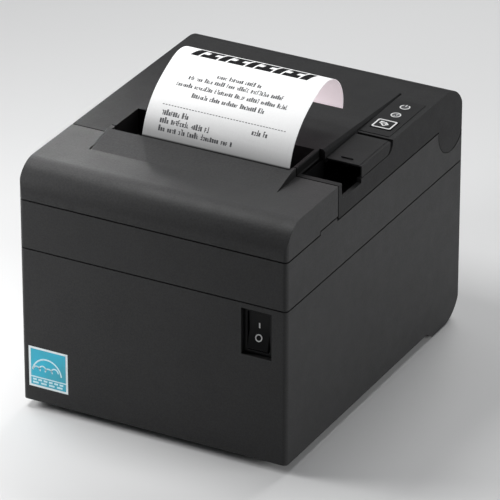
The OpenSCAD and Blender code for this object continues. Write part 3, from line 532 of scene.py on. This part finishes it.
class Receipt:
    """The curled sheet: gives the point at a distance along its path and across its width, in mm."""

    def __init__(self):
        low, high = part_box("receipt")
        web_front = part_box("paper_web")[0].y / MM
        self.centre = (low.x + high.x) / 2 / MM
        self.half = (high.x - low.x) / 2 / MM
        self.start = (web_front + WEB_TO_SHEET, low.z / MM)
        self.length = sum(length for length, turn in RECEIPT_PATH)

    def at(self, distance):
        """(y, z, heading in radians) at a distance along the path."""
        y, z = self.start
        heading = math.radians(90)
        left = distance
        for length, turn in RECEIPT_PATH:
            step = min(left, length)
            bend = math.radians(turn) / length
            if bend == 0:
                y += step * math.cos(heading)
                z += step * math.sin(heading)
            else:
                y += (math.sin(heading) - math.sin(heading - bend * step)) / bend
                z += (math.cos(heading - bend * step) - math.cos(heading)) / bend
            heading -= bend * step
            left -= step
            if left <= 0:
                break
        return y, z, heading

    def point(self, across, distance, lift):
        """lift is how far in front of the sheet's middle the point is."""
        y, z, heading = self.at(distance)
        growth = max(0.0, (distance - WAVE_START) / WAVE_GROWTH) ** 2
        lift += WAVE_H * math.sin(across * 0.11 + 0.6) * growth
        return Vector((self.centre + across, y - lift * math.sin(heading), z + lift * math.cos(heading))) * MM


def grid_faces(solid, rows, material=0):
    """Joins rows of vertices into quads."""
    for a, b in zip(rows, rows[1:]):
        for i in range(len(a) - 1):
            face = solid.faces.new((a[i], a[i + 1], b[i + 1], b[i]))
            face.smooth = True
            face.material_index = material


def build_receipt(receipt, front, back):
    """A thin sheet with a coated front and a plain back."""
    solid = bmesh.new()
    # The outer columns are narrow, so that the edges' normals shade only a thin hem.
    steps, across, hem = 190, 18, 0.15
    inner = receipt.half - hem
    middle = [inner * (2 * k / (across - 2) - 1) for k in range(across - 1)]
    columns = [-receipt.half, *middle, receipt.half]
    sides = []
    for lift in (SHEET_T / 2, -SHEET_T / 2):
        rows = []
        for i in range(steps + 1):
            s = receipt.length * i / steps
            rows.append([solid.verts.new(receipt.point(u, s, lift)) for u in columns])
        sides.append(rows)
    top, low = sides
    grid_faces(solid, top, 0)
    grid_faces(solid, [row[::-1] for row in low], 1)
    for end in (0, -1):
        for k in range(across):
            edge = (top[end][k], low[end][k], low[end][k + 1], top[end][k + 1])
            solid.faces.new(edge if end == 0 else edge[::-1])
    for side in (0, -1):
        for i in range(steps):
            edge = (top[i][side], top[i + 1][side], low[i + 1][side], low[i][side])
            solid.faces.new(edge if side == 0 else edge[::-1])
    piece = mesh_piece("receipt_sheet", "lid", front, solid)
    piece.data.materials.append(back)
    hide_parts("receipt")


def ink_patch(solid, receipt, outline):
    """A printed patch that follows the sheet. The outline is a quad of (across, distance)."""
    (u0, s0), (u1, s1), (u2, s2), (u3, s3) = outline
    steps = max(1, math.ceil(abs(s3 - s0) / 0.8))
    for lift, flip in ((SHEET_T / 2 + INK_REACH, False), (SHEET_T / 2 - INK_REACH, True)):
        rows = []
        for i in range(steps + 1):
            t = i / steps
            left = (u0 + (u3 - u0) * t, s0 + (s3 - s0) * t)
            right = (u1 + (u2 - u1) * t, s1 + (s2 - s1) * t)
            ends = (right, left) if flip else (left, right)
            rows.append([solid.verts.new(receipt.point(u, s, lift)) for u, s in ends])
        grid_faces(solid, rows)


def print_line(solid, receipt, start, end, base, height, dice):
    """A row of small random strokes that reads as small print, with gaps as between words."""
    pitch = height * 0.42
    wide = pitch * 0.74
    thick = height * 0.14
    u = start
    word = dice.randint(3, 8)
    while u + pitch * 0.8 <= end:
        if word == 0:
            word = dice.randint(3, 9)
            u += pitch
            continue
        word -= 1
        tall = height * dice.choice((0.62, 0.62, 0.78, 1.0))
        for side in dice.choice(((0, 1), (0,), (1,), (0, 1), (0, 1))):
            ink_patch(solid, receipt, rectangle(u + side * (wide - thick), base, thick, tall))
        for level in dice.sample((0.0, 0.5, 1.0), dice.choice((1, 2, 2))):
            ink_patch(solid, receipt, rectangle(u, base + (tall - thick) * level, wide, thick))
        u += pitch


def build_heading(receipt, ink):
    """A bold band of slanted blocks, which stands in for a heading and spells nothing."""
    solid = bmesh.new()
    low, high = BAND_ENDS
    gap, slant, stem, stroke = 0.9, 2.2, 3.4, 2.9
    u = -(sum(BAND_WIDTHS) + gap * (len(BAND_WIDTHS) - 1) + slant) / 2

    def block(left, width, v0, v1):
        a, b = [left + slant * (v - low) / (high - low) for v in (v0, v1)]
        ink_patch(solid, receipt, [(a, v0), (a + width, v0), (b + width, v1), (b, v1)])

    for width in BAND_WIDTHS:
        if width < 2 * stem:
            block(u, width, low, high)
        else:
            block(u, width, low, low + stroke)
            block(u, width, high - stroke, high)
            block(u + (width - stem) / 2, stem, low + stroke, high - stroke)
        u += width + gap
    mesh_piece("receipt_heading", "lid", ink, solid)


def build_print(receipt, ink):
    """Generic small print: centred rows, a dashed rule and a short table."""
    solid = bmesh.new()
    dice = random.Random(7)
    for half, base in CENTRED_ROWS:
        print_line(solid, receipt, -half, half, base, 2.6, dice)
    u = -RULE_HALF
    while u < RULE_HALF:
        ink_patch(solid, receipt, rectangle(u, RULE_AT, 1.0, 0.35))
        u += 1.6
    for start, end, base in TABLE_ROWS:
        print_line(solid, receipt, start, end, base, 2.9, dice)
    mesh_piece("receipt_print", "lid", ink, solid)


# ---------- Marks on the case ----------

def build_sticker(border, field, motif):
    """A square sticker with a generic row of small hills under an arch, and two rows of dashes."""
    low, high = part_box("front_sticker")
    width = (high.x - low.x) / MM
    height = (high.z - low.z) / MM
    sheet = Sheet(low / MM, (1, 0, 0), (0, 0, 1))
    rim = 1.15
    solid = bmesh.new()
    add_outline(solid, sheet, rectangle(rim, rim, width - 2 * rim, height - 2 * rim))
    mesh_piece("sticker_field", "base", field, solid)

    solid = bmesh.new()
    band = height * 0.25
    add_outline(solid, sheet, bar(rim, band, width - rim, band, 0.35), MOTIF_LIFT)
    centre = (width * 0.46, height * 0.33)
    arch, arch_t = width * 0.36, 0.75
    lines = [arc(centre, radius, 8, 166, 30, 1.08) for radius in (arch, arch + arch_t)]
    add_band(solid, sheet, *lines, MOTIF_LIFT, closed=False)
    for k in range(4):
        foot = (width * (0.20 + 0.155 * k), height * (0.42 + 0.035 * (k % 2)))
        lines = [arc(foot, width * radius, 0, 180, 10, 1.1) for radius in (0.075, 0.105)]
        add_band(solid, sheet, *lines, MOTIF_LIFT, closed=False)
    start, room, dash_h = rim + 1.0, width - 2 * rim - 1.6, 1.0
    for row, count in ((0.68, 6), (0.30, 4)):
        step = room / count
        v = rim + (band - rim) * row - dash_h / 2
        for i in range(count):
            add_outline(solid, sheet, rectangle(start + step * i, v, step * 0.7, dash_h), MOTIF_LIFT)
    mesh_piece("sticker_motif", "base", motif, solid)
    nodes["front_sticker"].material_slots[0].material = border


def build_button_mark(paint):
    """The feed button's frame, and a tag with an arrow inside it."""
    low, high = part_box("feed_button")
    centre = (low + high) / 2 / MM
    sheet = Sheet((centre.x, centre.y, high.z / MM), (1, 0, 0), (0, 1, 0))
    solid = bmesh.new()
    line = 0.8
    half_u, half_v = (high.x - low.x) / 2 / MM - 0.25, (high.y - low.y) / 2 / MM - 0.25
    add_band(solid, sheet, rounded_box(half_u - line, half_v - line, 0.7), rounded_box(half_u, half_v, 1.1))
    diamond = [(0, 2.3), (-2.3, 0), (0, -2.3), (2.3, 0)]
    add_band(solid, sheet, [(u * 0.55, v * 0.55) for u, v in diamond], diamond)
    add_outline(solid, sheet, [(-2.9, -0.2), (-2.9, 2.6), (-0.9, 2.6)])
    add_outline(solid, sheet, bar(-0.3, 0.9, 1.1, -0.4, 0.22))
    mesh_piece("feed_button_mark", "button", paint, solid)


def build_lamp_marks(paint):
    """The two lamps' symbols: a ring with two strokes, and a broken ring with one at its top."""
    low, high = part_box("light_pipes")
    sheet = Sheet(((low.x + high.x) / 2 / MM, 0, high.z / MM), (1, 0, 0), (0, 1, 0))
    radius = (high.x - low.x) / 2 / MM
    fault_y, power_y = low.y / MM + radius, high.y / MM - radius
    line, half_stroke = 0.6, 0.26
    solid = bmesh.new()
    ring(solid, sheet, (0, fault_y), radius - 0.4, line)
    add_outline(solid, sheet, bar(0.25, fault_y - 0.25, 0.75, fault_y + 1.15, half_stroke))
    add_outline(solid, sheet, bar(-0.6, fault_y - 1.2, -0.35, fault_y - 0.75, half_stroke))
    open_ring(solid, sheet, (0, power_y), radius - 0.4, line, 125, 415)
    add_outline(solid, sheet, bar(0, power_y + 0.6, 0, power_y + radius, half_stroke))
    mesh_piece("lamp_marks", "lid", paint, solid)


def rocker_sheet(sign, away_mm):
    """The upper (1) or lower (-1) face of the rocker, a distance from its middle."""
    data = nodes["power_rocker"].data
    low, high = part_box("power_rocker")
    middle = (low + high) / 2
    fronts = [f for f in data.polygons if f.normal.y < -0.6 and (f.center.z - middle.z) * sign > 2 * MM]
    face = max(fronts, key=lambda f: f.area)
    z = middle.z + sign * away_mm * MM
    y = face.center.y - (z - face.center.z) * face.normal.z / face.normal.y
    up = Vector((0, 0, 1)) - face.normal * face.normal.z
    return Sheet(Vector((middle.x, y, z)) / MM, (1, 0, 0), up)


def build_switch_marks(paint):
    """On and off marks on the two faces of the rocker."""
    solid = bmesh.new()
    add_outline(solid, rocker_sheet(1, 3.0), bar(0, -1.4, 0, 1.4, 0.36), ROCKER_MARK_LIFT)
    ring(solid, rocker_sheet(-1, 3.3), (0, 0), 1.6, 0.6, ROCKER_MARK_LIFT)
    mesh_piece("rocker_marks", "rocker", paint, solid)


# ---------- Stage ----------

def build_floor():
    """A wide pale floor at the height of the feet."""
    solid = bmesh.new()
    corners = rectangle(-FLOOR_HALF, -FLOOR_HALF, 2 * FLOOR_HALF, 2 * FLOOR_HALF)
    solid.faces.new([solid.verts.new((x, y, 0)) for x, y in corners])
    data = bpy.data.meshes.new("floor")
    solid.to_mesh(data)
    solid.free()
    floor = bpy.data.objects.new("floor", data)
    bpy.context.scene.collection.objects.link(floor)
    m = Material("pale_floor", 0.75, specular=0.2)
    m.colour(m.ramp(m.noise(300, 2), [(0.3, (0.70, 0.70, 0.70)), (0.7, (0.72, 0.72, 0.72))]))
    data.materials.append(m.data)


def hang(light, place, target):
    """Puts a light at a place and aims it at a target."""
    thing = bpy.data.objects.new(light.name, light)
    bpy.context.scene.collection.objects.link(thing)
    thing.location = place
    thing.rotation_euler = (Vector(target) - Vector(place)).to_track_quat("-Z", "Y").to_euler()
    return thing


def build_light():
    """A dim sky, five area lights and a narrow spot."""
    world = bpy.data.worlds.new("studio")
    bpy.context.scene.world = world
    world.use_nodes = True
    sky = world.node_tree.nodes["Background"]
    sky.inputs["Color"].default_value = SKY_COLOUR
    sky.inputs["Strength"].default_value = SKY_STRENGTH
    for name, place, target, size, power in AREA_LIGHTS:
        light = bpy.data.lights.new(name, "AREA")
        light.shape = "RECTANGLE"
        light.size, light.size_y = size
        light.energy = power
        hang(light, place, target).visible_camera = False
    place, target, cone, radius, power = SPOT
    light = bpy.data.lights.new("corner", "SPOT")
    light.spot_size = math.radians(cone)
    light.spot_blend = 1.0
    light.shadow_soft_size = radius
    light.energy = power
    hang(light, place, target)
    bpy.context.scene.view_settings.view_transform = "Standard"


def build_camera():
    """A long lens that looks down on the front right corner."""
    turn, tilt = math.radians(AZIMUTH), math.radians(ELEVATION)
    back = Vector((math.sin(turn) * math.cos(tilt), -math.cos(turn) * math.cos(tilt), math.sin(tilt)))
    lens = bpy.data.cameras.new("camera")
    lens.lens = FOCAL_LENGTH
    lens.sensor_width = 36.0
    lens.clip_start, lens.clip_end = 0.1, 20.0
    camera = bpy.data.objects.new("camera", lens)
    bpy.context.scene.collection.objects.link(camera)
    camera.location = Vector(LOOK_AT) + back * DISTANCE
    camera.rotation_euler = (-back).to_track_quat("-Z", "Y").to_euler()
    bpy.context.scene.camera = camera


# ---------- Everything together ----------

def boxes_of_painted_shade():
    """Boxes in mm that get painted shade: the slot's inside and the outer side of the rib, which soft light
    alone leaves too light.
    """
    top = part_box("paper_cover")[1].z / MM
    slot = ((-SLOT_X - 0.1, SLOT_Y[0] - 0.1, 100), (SLOT_X + 0.1, SLOT_Y[1] + 0.1, top - 0.15))
    rib = ((RIB_X - 0.1, RIB_Y[0], top - HUMP_H + 0.1), (RIB_X + 0.3, RIB_Y[1], top - 1.0))
    return slot, rib


def paint_nodes():
    """Gives every CAD node its material, except the sticker's."""
    # The front cover and the lid get painted shade in the slot and on the rib's side.
    shaded = boxes_of_painted_shade()
    case = moulding("case_grain", CASE_COLOUR)
    front = moulding("front_grain", CASE_COLOUR, 0.9, 0.035, painted_shade_boxes=shaded)
    lid = moulding("lid_grain", LID_COLOUR, specular=0.12, painted_shade_boxes=shaded)
    black = moulding("black_moulding", BLACK, 0.5, 0.015, 0.6, 0.12)
    # The liner's black is partly painted shade: darker and duller than a real black moulding.
    matt = moulding("matt_black_for_shade", MATT_BLACK_FOR_SHADE, 0.5, 0.015, 0.8, 0.04)
    gloss = smooth_plastic("gloss_black", BLACK, 0.35, 0.12)
    steel = brushed("plated_steel", (0.47, 0.48, 0.50), "X")
    blade = brushed("ground_blade", (0.68, 0.69, 0.71), "Y", 0.22)
    sink = brushed("heat_sink", (0.74, 0.75, 0.77), "X", 0.38)
    brass = brushed("turned_brass", (0.72, 0.53, 0.24), "X", 0.28)
    acetal = smooth_plastic("acetal", (0.74, 0.72, 0.65), 0.4)
    film = moulding("label_film", (0.007, 0.007, 0.0075), 0.4, 0.008, 0.5, 0.12)
    board = circuit_board("circuit_board")
    parts = smooth_plastic("component_body", (0.03, 0.03, 0.035), 0.4)
    lamp = smooth_plastic("smoked_lamp", (0.032, 0.032, 0.035), 0.3)
    cable = smooth_plastic("flat_cable", (0.70, 0.70, 0.67), 0.45)
    roll_low, roll_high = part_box("paper_roll")
    roll = wound_paper("wound_paper", (roll_low + roll_high) / 2)
    groups = (
        (case, "lower_case middle_case"),
        (front, "front_cover"),
        (lid, "paper_cover hinge_brackets cover_lever"),
        (matt, "cover_liner"),
        (black, "paper_bucket blade_holder power_inlet drawer_port cover_switch paper_sensor cutter_motor"),
        (gloss, "switch_housing power_rocker"),
        (steel, "bottom_plate base_screws bucket_screws mechanism_frame frame_posts head_springs feed_motor"
                " idler_axle cutter_frame interface_plate usb_port network_port cover_screws hinge_pins"
                " platen_brackets platen_shaft latch_shaft latch_hooks lever_pin"),
        (blade, "moving_blade fixed_blade"),
        (sink, "print_head"),
        (brass, "motor_pinion cutter_pinion platen_bushes"),
        (acetal, "idler_gear platen_gear"),
        (film, "control_label feed_button"),
        (board, "main_board panel_board"),
        (parts, "board_components panel_parts"),
        (lamp, "light_pipes"),
        (cable, "head_cable"),
        (rubber("black_rubber"), "rubber_feet platen_roller"),
        (roll, "paper_roll"),
        (card("core_card"), "roll_core"),
        (thermal_paper("web_paper"), "paper_web"),
    )
    for material, names in groups:
        for name in names.split():
            for slot in nodes[name].material_slots:
                slot.material = material


def round_edges():
    """Small radii on the mouldings that are seen."""
    group = smooth_group()
    for name in ("lower_case", "middle_case", "front_cover", "paper_cover"):
        soften(nodes[name], group, CASE_RADIUS)
    for name in ("cover_lever", "feed_button", "power_rocker", "switch_housing"):
        soften(nodes[name], group, SMALL_RADIUS)


def main():
    build_camera()
    build_light()
    build_floor()
    paint_nodes()
    round_edges()
    receipt = Receipt()
    slot_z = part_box("front_cover")[1].z
    build_receipt(receipt, thermal_paper("receipt_paper", slot_z), paper_back("receipt_back"))
    build_heading(receipt, printed("bold_ink", (0.010, 0.010, 0.011), 0.7, 0.05))
    build_print(receipt, printed("thermal_ink", (0.055, 0.055, 0.060), 0.7, 0.05))
    build_sticker(printed("sticker_border", (0.80, 0.86, 0.88)), sticker_blue("sticker_blue"),
                  printed("sticker_white", (0.62, 0.86, 0.92)))
    pale = printed("pale_marks", (0.66, 0.66, 0.66))
    build_button_mark(pale)
    build_lamp_marks(pale)
    build_switch_marks(printed("switch_marks", (0.62, 0.62, 0.62)))


main()
